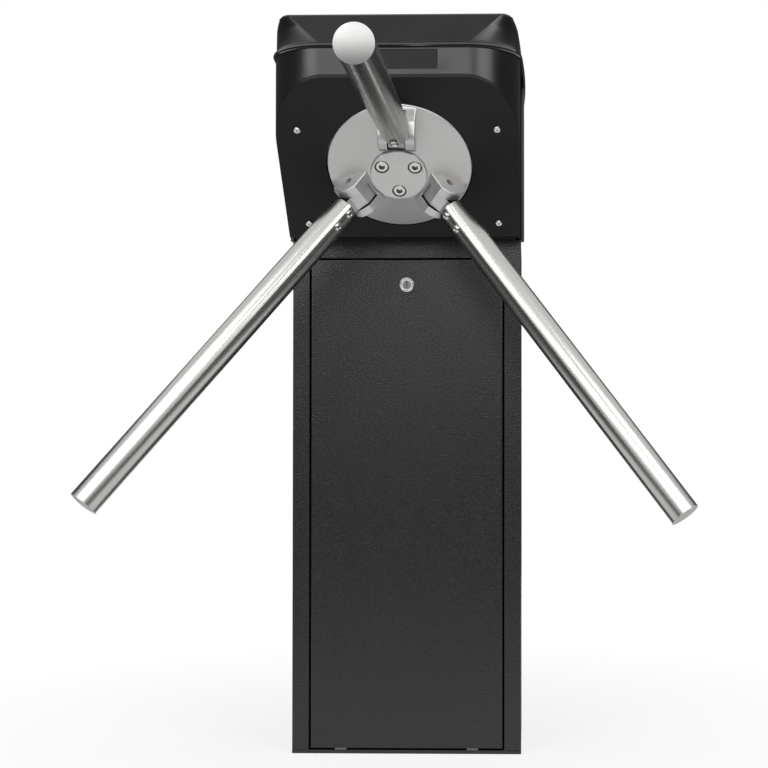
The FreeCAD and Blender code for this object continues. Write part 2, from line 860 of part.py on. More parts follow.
def make_lid_hinge():
    """A butt hinge on the back: the lower leaf carries the pin, the upper one turns on it."""
    rear = "pillar_depth/2"
    axis_y = f"{rear}+hinge_radius+hinge_gap"
    axis_z = "(head_seam+lid_foot)/2"
    lower = block(
        "lid_hinge_base",
        "-hinge_half",
        "hinge_half",
        rear,
        f"{rear}+hinge_leaf",
        f"{axis_z}-hinge_leaf_high",
        f"{axis_z}-hinge_radius-hinge_gap",
    )
    for side in ("-1", "1"):
        end = sketch_on(lower, "YZ", f"{side}*(hinge_half+hinge_split)/2")
        draw_circle(end, axis_y, axis_z, "hinge_radius")
        pad(lower, end, "hinge_half-hinge_split", both_ways=True)
        web = sketch_on(lower, "XY", axis_z)
        draw_rectangle(web, f"{side}*hinge_split", f"{side}*hinge_half", rear, f"{rear}+hinge_leaf")
        pad(lower, web, "hinge_leaf_high/2", against=True)
    pin = sketch_on(lower, "YZ")
    draw_circle(pin, axis_y, axis_z, "hinge_pin")
    pad(lower, pin, "2*hinge_half", both_ways=True)
    upper = block(
        "lid_hinge_leaf",
        "-hinge_half",
        "hinge_half",
        rear,
        f"{rear}+hinge_leaf",
        f"{axis_z}+hinge_radius+hinge_gap",
        f"{axis_z}+hinge_leaf_high",
    )
    middle = "(hinge_split-hinge_gap)"
    web = sketch_on(upper, "XY", axis_z)
    draw_rectangle(web, f"-{middle}", middle, rear, f"{rear}+hinge_leaf")
    pad(upper, web, "hinge_leaf_high/2")
    knuckle = sketch_on(upper, "YZ")
    draw_circle(knuckle, axis_y, axis_z, "hinge_radius")
    pad(upper, knuckle, f"2*{middle}", both_ways=True)
    bore = sketch_on(upper, "YZ")
    draw_circle(bore, axis_y, axis_z, "hinge_pin+pin_fit")
    cut(upper, bore)


# Hub
def draw_cap_holes(sketch, radius):
    for angle in (30, 150, 270):
        turned = f"({angle}+rest_angle)"
        draw_circle(sketch, f"cap_screw_circle*cos({turned})", f"cap_screw_circle*sin({turned})", radius)


def make_hub_casting():
    body = new_body("hub_casting", fork_frame(1))
    cone = [
        ("shaft_nose", "-boss_back"),
        ("boss_radius", "-boss_back"),
        ("boss_radius", "-rim_back"),
        ("rim_radius", "-rim_back"),
        ("rim_radius", "rim_front"),
        ("cone_radius", "cone_top"),
        ("shaft_nose", "cone_top"),
    ]
    turn(body, cone)
    side = sketch_on(body, "XZ")
    draw_polygon(side, FORK_SIDE)
    fork = pad(body, side, "fork_width", both_ways=True)
    slot_side = sketch_on(body, "XZ")
    slot_outline = [
        ("fork_slot_root", "-2*rim_back"),
        ("fork_slot_through", "-2*rim_back"),
        ("fork_slot_through", "fork_floor"),
        ("fork_slot_end", "fork_floor"),
        ("2*rim_radius", "fork_width"),
        ("fork_slot_root", "fork_width"),
    ]
    draw_polygon(slot_side, slot_outline)
    slot = cut(body, slot_side, "fork_gap", both_ways=True)
    pin_side = sketch_on(body, "XZ")
    draw_circle(pin_side, "pin_r", "pin_h", "pin_radius")
    bore = cut(body, pin_side, "2*fork_width", both_ways=True)
    repeat_round(body, [fork, slot, bore], str(len(ARMS)))
    seat = sketch_on(body, "XY", "cap_back")
    draw_circle(seat, "0", "0", "cone_radius")
    cut(body, seat, "fork_width", against=True)
    moat = sketch_on(body, "XY", "cone_top-moat_deep")
    draw_circle(moat, "0", "0", "cap_moat")
    cut(body, moat, "fork_width", against=True)
    threads = sketch_on(body, "XY", "cap_back")
    for angle in (60, 180, 300):
        draw_circle(threads, f"cap_screw_circle*cos({angle})", f"cap_screw_circle*sin({angle})", "hex_shank")
    cut(body, threads, "2*boss_back", both_ways=True)
    round_edges(body, "fork_brow_round", is_fork_brow)
    round_edges(body, "fork_edge", is_fork_edge)


def seen_from_forks(edge):
    """The ends of an edge as each fork has them, with x along the fork."""
    for arm in range(len(ARMS)):
        unturn = Rotation(Vector(0, 0, 1), -360 / len(ARMS) * arm)
        yield [unturn.multVec(end.Point) for end in edge.Vertexes]


def is_fork_brow(edge):
    """Edges across the highest corner of a fork's cheeks."""
    brow, height = value("fork_brow_r"), value("fork_brow_h")
    return any(
        all(abs(end.x - brow) < TOUCHING and abs(end.z - height) < TOUCHING for end in ends)
        for ends in seen_from_forks(edge)
    )


def is_fork_edge(edge):
    """Straight edges round the outer faces of a fork's cheeks."""
    if edge.Curve.TypeId != "Part::GeomLine":
        return False
    half = value("fork_width/2")
    return any(
        all(abs(abs(end.y) - half) < TOUCHING and end.x > 0 for end in ends)
        for ends in seen_from_forks(edge)
    )


def make_hub_cap():
    outline = [
        ("0", "cap_back"),
        ("cap_radius", "cap_back"),
        ("cap_radius", "cap_front-cap_edge"),
        ("cap_radius-cap_edge", "cap_front"),
        ("0", "cap_front"),
    ]
    body = turned_piece("hub_cap", outline, hub_frame())
    through = sketch_on(body, "XY", "cap_back")
    draw_cap_holes(through, "hex_shank")
    cut(body, through, "2*cap_front")
    heads = sketch_on(body, "XY", "cap_front-cap_sunk-hex_high")
    draw_cap_holes(heads, "hex_bore")
    cut(body, heads, "cap_front", against=True)


def make_cap_screws():
    for number, angle in enumerate((30, 150, 270), 1):
        spin = Placement(Vector(), Rotation(Vector(0, 0, 1), angle + value("rest_angle")))
        seat = Placement(spot("cap_screw_circle", "0", "cap_front-cap_sunk-hex_high"), Rotation())
        screw(f"cap_screw_{number}", hub_frame() * spin * seat, "hex")


def make_shaft():
    outline = [
        ("0", "-shaft_back"),
        ("shaft_radius", "-shaft_back"),
        ("shaft_radius", "-boss_back"),
        ("shaft_nose", "-boss_back"),
        ("shaft_nose", "shaft_nose_end"),
        ("0", "shaft_nose_end"),
    ]
    turned_piece("hub_shaft", outline, hub_frame())


def make_lock_disc():
    body = new_body("lock_disc", hub_frame())
    rim = sketch_on(body, "XY", "-disc_front")
    draw_circle(rim, "0", "0", "disc_radius")
    draw_circle(rim, "0", "0", "shaft_radius")
    pad(body, rim, "disc_thick", against=True)
    notch = sketch_on(body, "XY", "-disc_front")
    draw_rectangle(notch, "notch_floor", "2*disc_radius", "-notch_half", "notch_half")
    repeat_round(body, [cut(body, notch, "4*disc_thick")], "notch_count")


def draw_gear_blank(sketch, teeth):
    draw_circle(sketch, "0", "0", f"gear_module*{teeth}/2-tooth_fall")


def add_teeth(body, teeth):
    """Straight-sided teeth round the blank that the body starts with."""
    pitch = f"gear_module*{teeth}/2"
    root = f"({pitch}-tooth_fall)"
    tip = f"({pitch}+tooth_rise)"
    at_root = "(tooth_half+tooth_fall*tan(tooth_angle))"
    at_tip = "(tooth_half-tooth_rise*tan(tooth_angle))"
    tooth = sketch_on(body, "XY", "-gear_front")
    outline = [
        (f"{root}-gear_module/2", f"-{at_root}"),
        (root, f"-{at_root}"),
        (tip, f"-{at_tip}"),
        (tip, at_tip),
        (root, at_root),
        (f"{root}-gear_module/2", at_root),
    ]
    draw_polygon(tooth, outline)
    repeat_round(body, [pad(body, tooth, "gear_thick", against=True)], teeth)


def make_main_gear():
    """The gear on the shaft, with a tooth pointing up the panel at the damper."""
    upward = Placement(Vector(), Rotation(Vector(0, 0, 1), 90))
    body = new_body("main_gear", hub_frame() * upward)
    blank = sketch_on(body, "XY", "-gear_front")
    draw_gear_blank(blank, "gear_teeth")
    draw_circle(blank, "0", "0", "shaft_radius")
    pad(body, blank, "gear_thick", against=True)
    add_teeth(body, "gear_teeth")


def damper_frame(spin):
    """The damper's axis as z, one gear centre distance up the panel."""
    lift = spot("0", "gear_module*(gear_teeth+pinion_teeth)/2")
    return hub_frame() * Placement(lift, Rotation(Vector(0, 0, 1), spin))


def make_damper():
    # A gap of the pinion faces the main gear's tooth
    body = new_body("damper_pinion", damper_frame(180 / value("pinion_teeth") - 90))
    blank = sketch_on(body, "XY", "-gear_front")
    draw_gear_blank(blank, "pinion_teeth")
    pad(body, blank, "gear_thick", against=True)
    add_teeth(body, "pinion_teeth")
    stub = sketch_on(body, "XY", "-gear_front")
    draw_circle(stub, "0", "0", "pinion_stub")
    pad(body, stub, "pinion_stub_long")
    outline = [
        ("0", "-damper_back"),
        ("damper_radius", "-damper_back"),
        ("damper_radius", "-damper_front"),
        ("0", "-damper_front"),
    ]
    case = turned_piece("damper_body", outline, damper_frame(0))
    foot = sketch_on(case, "XY", "-plate_front-plate_thick")
    draw_rectangle(foot, "-damper_foot", "damper_foot", "0", "2*damper_foot")
    pad(case, foot, "damper_front-plate_front-plate_thick+weld_in", against=True)
    bore = sketch_on(case, "XY", "-damper_back")
    draw_circle(bore, "0", "0", "pinion_stub+pin_fit")
    cut(case, bore, "2*pinion_stub_long")


def make_shaft_nut():
    body = new_body("shaft_nut", hub_frame())
    outline = sketch_on(body, "XY", "-nut_front")
    radius = "nut_flats/cos(30)"
    draw_polygon(outline, [(f"{radius}*cos({a})", f"{radius}*sin({a})") for a in range(0, 360, 60)])
    draw_circle(outline, "0", "0", "shaft_radius")
    pad(body, outline, "nut_thick", against=True)


# Arms
def make_arm(arm):
    place = arm_frame(arm)
    pin = [
        ("0", "-fork_width/2+pin_inset"),
        ("pin_radius", "-fork_width/2+pin_inset"),
        ("pin_radius", "fork_width/2-pin_inset"),
        ("0", "fork_width/2-pin_inset"),
    ]
    turned_piece(f"arm_pin_{arm}", pin, place * Placement(Vector(), Rotation(Vector(1, 0, 0), 90)))
    make_lug(arm, place)
    make_tube(arm, place)
    make_end_cap(arm, place)
    make_arm_screws(arm, place)


def screw_holes(body, radius, near, far):
    """Round holes for the two screws, on the side of the arm that faces the hub axis."""
    sketch = sketch_on(body, "YZ", f"-({near}+{far})/2")
    for along in ("arm_screw_near", "arm_screw_far"):
        draw_circle(sketch, "0", along, radius)
    cut(body, sketch, f"{far}-({near})")


def make_lug(arm, place):
    body = new_body(f"arm_lug_{arm}", place)
    side = sketch_on(body, "XZ")
    draw_polygon(side, LUG_SIDE)
    pad(body, side, "lug_width", both_ways=True)
    plug = sketch_on(body, "XY", "tube_start")
    draw_circle(plug, "0", "0", "tube_radius-tube_wall")
    pad(body, plug, "lug_plug_end-tube_start")
    pivot = sketch_on(body, "XZ")
    draw_circle(pivot, "0", "0", "pin_radius+pin_fit")
    cut(body, pivot)
    screw_holes(body, "button_shank", "tube_radius-button_long", "tube_radius")


def make_tube(arm, place):
    inner = "tube_radius-tube_wall"
    end = "arm_tip-end_cap"
    outline = [
        (inner, "tube_start"),
        ("tube_radius", "tube_start"),
        ("tube_radius", end),
        (inner, end),
    ]
    body = turned_piece(f"arm_tube_{arm}", outline, place)
    screw_holes(body, "button_shank+arm_screw_room", "tube_radius-2*tube_wall", "tube_radius+tube_wall")


def make_end_cap(arm, place):
    plug = "tube_radius-tube_wall"
    outline = [
        ("0", "arm_tip-end_cap-end_plug"),
        (plug, "arm_tip-end_cap-end_plug"),
        (plug, "arm_tip-end_cap"),
        ("tube_radius", "arm_tip-end_cap"),
        ("tube_radius", "arm_tip-end_cap_edge"),
        ("tube_radius-end_cap_edge", "arm_tip"),
        ("0", "arm_tip"),
    ]
    turned_piece(f"arm_end_cap_{arm}", outline, place)


def make_arm_screws(arm, place):
    """The two screws that hold the tube on its lug, kept together as one node."""
    pair = []
    facing_hub = Rotation(Vector(0, 1, 0), -90)
    for name in ("near", "far"):
        seat = Placement(spot("-tube_radius-arm_screw_seat", "0", f"arm_screw_{name}"), facing_hub)
        body = screw(f"arm_screw_{name}_{arm}", place * seat, "button")
        nodes.remove(body)
        pair.append(body)
    joined = doc.addObject("Part::Compound", f"arm_screws_{arm}")
    joined.Label = f"arm_screws_{arm}"
    joined.Links = pair
    nodes.append(joined)


# Plate, bearings and lock work behind the panel
def make_mech_frame():
    """The plate that carries the bearings, with its two cheeks, posts and panel bosses, welded up."""
    body = new_body("mech_frame", hub_frame())
    plate = sketch_on(body, "XY", "-plate_front")
    draw_rectangle(plate, "-plate_half", "plate_half", "-plate_down", "plate_up")
    draw_circle(plate, "0", "0", "housing_hole")
    pad(body, plate, "plate_thick", against=True)
    bosses = sketch_on(body, "XY", "-plate_front")
    for x, y in panel_screw_spots():
        draw_circle(bosses, x, y, "boss_post")
    pad(body, bosses, "plate_front-panel_thick")
    threads = sketch_on(body, "XY", "-plate_front")
    for x, y in panel_screw_spots():
        draw_circle(threads, x, y, "pan_shank")
    cut(body, threads, "4*plate_front")
    # The cheeks stand on the head's floor, which is level, so their feet slope in this frame
    floor_line = "(pillar_top+floor_thick-hub_height)"
    foot_front = f"({floor_line}-plate_front*sin(axis_slope))/cos(axis_slope)"
    foot_rear = f"({floor_line}-cheek_back*sin(axis_slope))/cos(axis_slope)"
    for side in SIDES.values():
        cheek = sketch_on(body, "YZ", f"{side}*(plate_half-cheek_thick/2)")
        outline = [
            ("plate_up", "-plate_front"),
            (foot_front, "-plate_front"),
            (foot_rear, "-cheek_back"),
            ("plate_up", "-cheek_top_back"),
        ]
        draw_polygon(cheek, outline)
        pad(body, cheek, "cheek_thick", both_ways=True)
    posts = sketch_on(body, "XY", "-plate_front-plate_thick")
    for side in SIDES.values():
        draw_circle(posts, f"{side}*pawl_x", "-pawl_down", "pawl_pivot")
    pad(body, posts, "post_back-plate_front-plate_thick", against=True)


def make_bearings():
    rear_race = "(housing_back-race_width-race_gap)"
    housing = [
        ("race_radius", "-housing_back"),
        ("housing_radius", "-housing_back"),
        ("housing_radius", "-plate_front-plate_thick-flange_thick"),
        ("flange_radius", "-plate_front-plate_thick-flange_thick"),
        ("flange_radius", "-plate_front-plate_thick"),
        ("housing_radius", "-plate_front-plate_thick"),
        ("housing_radius", "-housing_front"),
        ("race_radius", "-housing_front"),
        ("race_radius", "-front_race-race_width"),
        ("race_lip", "-front_race-race_width"),
        ("race_lip", f"-{rear_race}"),
        ("race_radius", f"-{rear_race}"),
    ]
    turned_piece("bearing_housing", housing, hub_frame())
    for name, start in (("front", "front_race"), ("rear", rear_race)):
        ring = [
            ("shaft_radius+race_fit", f"-{start}-race_width"),
            ("race_radius", f"-{start}-race_width"),
            ("race_radius", f"-{start}"),
            ("shaft_radius+race_fit", f"-{start}"),
        ]
        turned_piece(f"bearing_{name}", ring, hub_frame())


def make_lock_side(name, side):
    """A pawl beside the lock disc, with the solenoid and plunger that push its tail."""
    pawl = new_body(f"pawl_{name}", hub_frame())
    outline = [
        (f"{side}*(pawl_x-pawl_half)", "-pawl_down-pawl_foot"),
        (f"{side}*(pawl_x+pawl_half)", "-pawl_down-pawl_foot"),
        (f"{side}*(pawl_x+pawl_half)", "pawl_tail"),
        (f"{side}*(pawl_x-pawl_half/2)", "pawl_tail"),
        (f"{side}*(pawl_x-pawl_half/2)", "tooth_high+tooth_slope"),
        (f"{side}*tooth_tip", "tooth_high"),
        (f"{side}*tooth_tip", "tooth_low"),
        (f"{side}*(pawl_x-pawl_half/2)", "tooth_low-tooth_slope"),
    ]
    profile = sketch_on(pawl, "XY", "-disc_front")
    draw_polygon(profile, outline)
    draw_circle(profile, f"{side}*pawl_x", "-pawl_down", "pawl_pivot+pin_fit")
    pad(pawl, profile, "disc_thick", against=True)
    middle = "-disc_front-disc_thick/2"
    coil = new_body(f"solenoid_{name}", hub_frame())
    case = sketch_on(coil, "XY", f"{middle}+coil_half")
    draw_rectangle(case, f"{side}*coil_near", f"{side}*coil_far", "coil_y-coil_half", "coil_y+coil_half")
    pad(coil, case, "2*coil_half", against=True)
    leg = sketch_on(coil, "XY", "-plate_front-plate_thick")
    leg_near = f"{side}*(coil_near+coil_leg)"
    leg_far = f"{side}*(coil_far-coil_leg)"
    draw_rectangle(leg, leg_near, leg_far, "coil_y-coil_leg", "coil_y+coil_leg")
    pad(coil, leg, "disc_front+disc_thick/2-coil_half-plate_front-plate_thick+weld_in", against=True)
    bore = sketch_on(coil, "YZ", f"{side}*coil_near")
    draw_circle(bore, "coil_y", middle, "plunger_radius+plunger_fit")
    cut(coil, bore, "2*(bore_end-coil_near)")
    plunger = new_body(f"plunger_{name}", hub_frame())
    rod = sketch_on(plunger, "YZ", f"{side}*(pawl_x+pawl_half+plunger_gap)")
    draw_circle(rod, "coil_y", middle, "plunger_radius")
    pad(plunger, rod, "plunger_end-pawl_x-pawl_half-plunger_gap", against=side < 0)


# Electrics
def make_electrics():
    low = "pillar_top+floor_thick+board_lift"
    board = block(
        "control_board", "-board_half", "board_half", "board_front", "board_rear", low, f"{low}+board_thick"
    )
    spacers = sketch_on(board, "XY", "pillar_top+floor_thick")
    for x in ("-board_half+spacer_inset", "board_half-spacer_inset"):
        for y in ("board_front+spacer_inset", "board_rear-spacer_inset"):
            draw_circle(spacers, x, y, "spacer_radius")
    pad(board, spacers, "board_lift")
    wall = "pillar_depth/2-sheet"
    front = f"{wall}-supply_thick"
    block("power_supply", "-supply_half", "supply_half", front, wall, "supply_low", "supply_high")
    block(
        "battery",
        "-battery_half",
        "battery_half",
        "battery_front",
        "battery_rear",
        "base_thick",
        "base_thick+battery_high",
    )


def check_pieces():
    for item in doc.Objects:
        if "Invalid" in item.State or "Error" in item.State:
            raise ValueError(f"{item.Label} failed: {item.State}")
    for piece in nodes:
        if piece.Shape.isNull() or not piece.Shape.isValid():
            raise ValueError(f"{piece.Label} has no valid shape")


def write_pieces():
    os.makedirs("parts", exist_ok=True)
    for piece in nodes:
        piece.Shape.exportStep(f"parts/{piece.Label}.step")
    print(len(nodes), "pieces")


def main():
    make_base_plate()
    make_pillar_shell()
    make_door()
    make_door_tabs()
    make_door_lock()
    make_head_floor()
    make_front_shell()
    make_badge_plate()
    make_front_panel()
    make_panel_screws()
    make_rear_shell()
    make_lid()
    make_lid_hinge()
    make_hub_casting()
    make_hub_cap()
    make_cap_screws()
    make_shaft()
    make_lock_disc()
    make_main_gear()
    make_damper()
    make_shaft_nut()
    for arm in ARMS:
        make_arm(arm)
    make_mech_frame()
    make_bearings()
    for name, side in SIDES.items():
        make_lock_side(name, side)
    make_electrics()
    doc.recompute()
    check_pieces()
    write_pieces()


main()
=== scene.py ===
"""Dresses the solids of a tripod turnstile with softened edges and finishes, and sets its studio."""
import json
import math

import bmesh
import bpy
from bpy.props import FloatProperty, FloatVectorProperty, PointerProperty
from mathutils import Matrix, Vector

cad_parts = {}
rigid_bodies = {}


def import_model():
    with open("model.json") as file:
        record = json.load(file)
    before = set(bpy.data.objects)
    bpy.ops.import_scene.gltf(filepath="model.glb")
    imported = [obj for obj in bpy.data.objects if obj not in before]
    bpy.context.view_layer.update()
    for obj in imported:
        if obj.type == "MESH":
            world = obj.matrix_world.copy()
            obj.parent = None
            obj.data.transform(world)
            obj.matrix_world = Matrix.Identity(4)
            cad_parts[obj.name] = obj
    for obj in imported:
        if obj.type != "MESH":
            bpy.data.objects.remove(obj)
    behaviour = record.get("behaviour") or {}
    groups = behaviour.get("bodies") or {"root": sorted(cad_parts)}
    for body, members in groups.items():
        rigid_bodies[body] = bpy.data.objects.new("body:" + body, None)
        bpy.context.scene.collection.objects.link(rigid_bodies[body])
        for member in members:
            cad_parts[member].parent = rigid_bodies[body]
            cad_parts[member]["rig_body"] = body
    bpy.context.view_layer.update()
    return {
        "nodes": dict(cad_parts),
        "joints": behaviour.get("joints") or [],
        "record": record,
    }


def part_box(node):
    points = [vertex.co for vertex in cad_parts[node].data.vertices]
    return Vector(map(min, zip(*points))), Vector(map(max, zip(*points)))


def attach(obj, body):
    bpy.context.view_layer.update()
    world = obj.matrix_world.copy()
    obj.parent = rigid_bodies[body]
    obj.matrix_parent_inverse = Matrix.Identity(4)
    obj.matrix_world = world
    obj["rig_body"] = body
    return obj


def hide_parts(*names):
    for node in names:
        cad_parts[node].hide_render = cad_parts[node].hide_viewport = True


bl_info = {
    "name": "Tripod turnstile",
    "version": (1, 0, 0),
    "blender": (4, 5, 0),
    "location": "View3D > Sidebar > Turnstile",
    "description": "Dresses the solids of a tripod turnstile and sets its studio",
    "category": "Object",
}

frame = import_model()
NODES = frame["nodes"]
JOINTS = {joint["name"]: joint for joint in frame["joints"]}
SLOTS = {part["node"]: part["material_slot"] for part in frame["record"]["subparts"]}
ARMS = (1, 2, 3)
MM = 0.001
# Points closer than this are one
MERGE = 0.004 * MM
# Most of a noise pattern lies between these values
NOISE_LOW, NOISE_HIGH = 0.3, 0.7

# The photograph's view, in a square frame: where the camera stands, its turn and tilt, lens and shift
CAMERA_PLACE = (0.16885, -2.11895, 0.45214)
CAMERA_TURN = math.radians(1.22)
CAMERA_TILT = math.radians(0.95)
CAMERA_LENS = 67.365
CAMERA_SHIFT = (-0.14678, 0.02822)


def colour(code):
    """A linear colour from an sRGB hex value."""
    channels = [int(code[i : i + 2], 16) / 255 for i in (1, 3, 5)]
    return [c / 12.92 if c <= 0.04045 else ((c + 0.055) / 1.055) ** 2.4 for c in channels]


def paint(name, description, code):
    return FloatVectorProperty(
        name=name, description=description, subtype="COLOR", size=3, min=0, max=1, default=colour(code)
    )


def length(name, description, millimetres):
    return FloatProperty(
        name=name,
        description=description,
        unit="LENGTH",
        min=0.05 * MM,
        max=10 * MM,
        default=millimetres * MM,
    )


def power(name, description, watts):
    return FloatProperty(name=name, description=description, unit="POWER", min=0, max=500, default=watts)


class TurnstileColours(bpy.types.PropertyGroup):
    """Colours of the finishes."""

    powder_coat: paint("Powder coat", "Textured coat on the pillar and the door", "#1b1b1b")
    shell: paint("Shell", "Moulded head and lid", "#121213")
    panel: paint("Panel", "Sloped front panel", "#151515")
    badge: paint("Badge", "Bare plate under the lid", "#1c1c1f")
    alloy: paint("Alloy", "Cast hub, cap and lugs", "#dad9d8")
    stainless: paint("Stainless", "Arm tubes", "#bfbebb")
    end_cap: paint("End cap", "Turned plugs on the arm tips", "#b9b9b8")
    zinc: paint("Zinc", "Plated screws", "#cfcfcb")
    chrome: paint("Chrome", "Ring of the door lock", "#d3d2d1")
    nickel: paint("Nickel", "Plug of the door lock", "#82817f")


class TurnstileEdges(bpy.types.PropertyGroup):
    """Radii of the softened edges."""

    sheet_bend: length("Sheet bend", "Folds of the pillar and the door", 1.2)
    moulding: length("Moulding", "Edges of the head's shells", 0.8)
    lid_rim: length("Lid rim", "Edge round the lid's top", 3.5)
    casting: length("Casting", "Edge round the hub's rim", 1.3)
    cap_dome: length("Cap dome", "Rise of the domes on the arm tips", 2.4)


class TurnstileStudio(bpy.types.PropertyGroup):
    """Light of the studio."""

    key_power: power("Key softbox", "Power of the softbox in front on the left", 23)
    fill_power: power("Fill softbox", "Power of the softbox in front on the right", 23)
    front_power: power("Front softbox", "Power of the softbox above the camera", 8)
    room_light: FloatProperty(
        name="Room", description="Even light from all round", min=0, max=2, default=0.5
    )


# Materials
def add_node(tree, kind, links=None, **settings):
    """A node with its settings. Each link sets an input to a value or to another node's output."""
    node = tree.nodes.new("ShaderNode" + kind)
    for key, setting in settings.items():
        setattr(node, key, setting)
    for key, source in (links or {}).items():
        if isinstance(source, bpy.types.NodeSocket):
            tree.links.new(source, node.inputs[key])
        else:
            node.inputs[key].default_value = source
    return node


def opaque(rgb, share=1.0):
    """A colour at a share of its strength, with no transparency."""
    return (*(c * share for c in rgb), 1.0)


def new_material(name):
    material = bpy.data.materials.new(name)
    material.use_nodes = True
    material.node_tree.nodes.clear()
    return material, material.node_tree


def powder_coat(rgb):
    """Polyester powder coat, sprayed and baked to a sand texture: it sparkles where it mirrors a lamp."""
    material, tree = new_material("textured_powder_coat")
    place = add_node(tree, "TexCoord").outputs["Object"]
    # Grains of about 1 mm, drawn twice as coarse so that they show
    grit = add_node(tree, "TexNoise", {"Vector": place, "Scale": 1 / (2 * MM), "Detail": 1.5}).outputs["Fac"]
    bump = add_node(tree, "Bump", {"Height": grit, "Strength": 1.0, "Distance": 0.5 * MM})
    # Clouds of 90 mm, from the uneven spray
    cloud = add_node(tree, "TexNoise", {"Vector": place, "Scale": 1 / (90 * MM), "Detail": 4.0})
    shade = add_node(
        tree,
        "Mix",
        {"Factor": cloud.outputs["Fac"], "A": opaque(rgb, 0.82), "B": opaque(rgb)},
        data_type="RGBA",
    )
    polish = add_node(
        tree,
        "MapRange",
        {"Value": grit, "From Min": NOISE_LOW, "From Max": NOISE_HIGH, "To Min": 0.24, "To Max": 0.36},
    )
    shader = add_node(
        tree,
        "BsdfPrincipled",
        {
            "Base Color": shade.outputs[2],
            "Roughness": polish.outputs["Result"],
            "IOR": 1.54,
            "Normal": bump.outputs["Normal"],
        },
    )
    add_node(tree, "OutputMaterial", {"Surface": shader.outputs["BSDF"]})
    return material


def moulded_shell(name, rgb, gloss, peel, shine=0.5):
    """Injection-moulded ABS with a light polish: broad soft reflections with a trace of orange peel."""
    material, tree = new_material(name)
    place = add_node(tree, "TexCoord").outputs["Object"]
    # Orange peel of 6 mm, and clouds of 60 mm from the flow in the mould
    ripple = add_node(tree, "TexNoise", {"Vector": place, "Scale": 1 / (6 * MM), "Detail": 2.0})
    cloud = add_node(
        tree, "TexNoise", {"Vector": place, "Scale": 1 / (60 * MM), "Detail": 5.0}
    ).outputs["Fac"]
    bump = add_node(tree, "Bump", {"Height": ripple.outputs["Fac"], "Strength": peel, "Distance": 0.1 * MM})
    shade = add_node(
        tree, "Mix", {"Factor": cloud, "A": opaque(rgb, 0.88), "B": opaque(rgb)}, data_type="RGBA"
    )
    polish = add_node(
        tree,
        "MapRange",
        {
            "Value": cloud,
            "From Min": NOISE_LOW,
            "From Max": NOISE_HIGH,
            "To Min": gloss - 0.03,
            "To Max": gloss + 0.04,
        },
    )
    shader = add_node(
        tree,
        "BsdfPrincipled",
        {
            "Base Color": shade.outputs[2],
            "Roughness": polish.outputs["Result"],
            "IOR": 1.52,
            "Specular IOR Level": shine,
            "Normal": bump.outputs["Normal"],
        },
    )
    add_node(tree, "OutputMaterial", {"Surface": shader.outputs["BSDF"]})
    return material


def satin_metal(name, rgb, gloss, grain):
    """Cast or turned metal with a fine even blast: a pale sheen that follows the form."""
    material, tree = new_material(name)
    place = add_node(tree, "TexCoord").outputs["Object"]
    blast = add_node(tree, "TexNoise", {"Vector": place, "Scale": 1 / (grain * MM), "Detail": 2.0})
    # Clouds of 35 mm, from handling
    cloud = add_node(
        tree, "TexNoise", {"Vector": place, "Scale": 1 / (35 * MM), "Detail": 4.0}
    ).outputs["Fac"]
    bump = add_node(tree, "Bump", {"Height": blast.outputs["Fac"], "Strength": 0.12, "Distance": 0.05 * MM})
    shade = add_node(
        tree, "Mix", {"Factor": cloud, "A": opaque(rgb, 0.93), "B": opaque(rgb)}, data_type="RGBA"
    )
    polish = add_node(
        tree,
        "MapRange",
        {
            "Value": cloud,
            "From Min": NOISE_LOW,
            "From Max": NOISE_HIGH,
            "To Min": gloss - 0.03,
            "To Max": gloss + 0.04,
        },
    )
    shader = add_node(
        tree,
        "BsdfPrincipled",
        {
            "Base Color": shade.outputs[2],
            "Metallic": 1.0,
            "Roughness": polish.outputs["Result"],
            "Normal": bump.outputs["Normal"],
        },
    )
    add_node(tree, "OutputMaterial", {"Surface": shader.outputs["BSDF"]})
    return material


def brushed_tube(name, rgb, to_arm):
    """Polished stainless tube, brushed along its length: long clean streaks of light and dark."""
    material, tree = new_material(name)
    place = add_node(tree, "TexCoord").outputs["Object"]
    along = add_node(
        tree,
        "Mapping",
        {"Vector": place, "Location": to_arm.to_translation(), "Rotation": to_arm.to_euler()},
    ).outputs["Vector"]
    # Along the tube the pattern is stretched, so that only lines are left
    streak = add_node(tree, "VectorMath", {0: along, 1: (1.0, 1.0, 0.004)}, operation="MULTIPLY").outputs[0]
    # Brush lines of a few tenths of a millimetre, drawn at 2.2 mm so that they show
    brush = add_node(
        tree, "TexNoise", {"Vector": streak, "Scale": 1 / (2.2 * MM), "Detail": 1.0}
    ).outputs["Fac"]
    bump = add_node(tree, "Bump", {"Height": brush, "Strength": 0.02, "Distance": 0.04 * MM})
    shade = add_node(
        tree, "Mix", {"Factor": brush, "A": opaque(rgb, 0.9), "B": opaque(rgb)}, data_type="RGBA"
    )
    polish = add_node(
        tree,
        "MapRange",
        {"Value": brush, "From Min": NOISE_LOW, "From Max": NOISE_HIGH, "To Min": 0.2, "To Max": 0.29},
    )
    shader = add_node(
        tree,
        "BsdfPrincipled",
        {
            "Base Color": shade.outputs[2],
            "Metallic": 1.0,
            "Roughness": polish.outputs["Result"],
            "Normal": bump.outputs["Normal"],
        },
    )
    add_node(tree, "OutputMaterial", {"Surface": shader.outputs["BSDF"]})
    return material


def plain_metal(name, code, gloss):
    return satin_metal(name, colour(code), gloss, grain=0.8)


def plain_plastic(name, code, gloss):
    return moulded_shell(name, colour(code), gloss, peel=0.05)


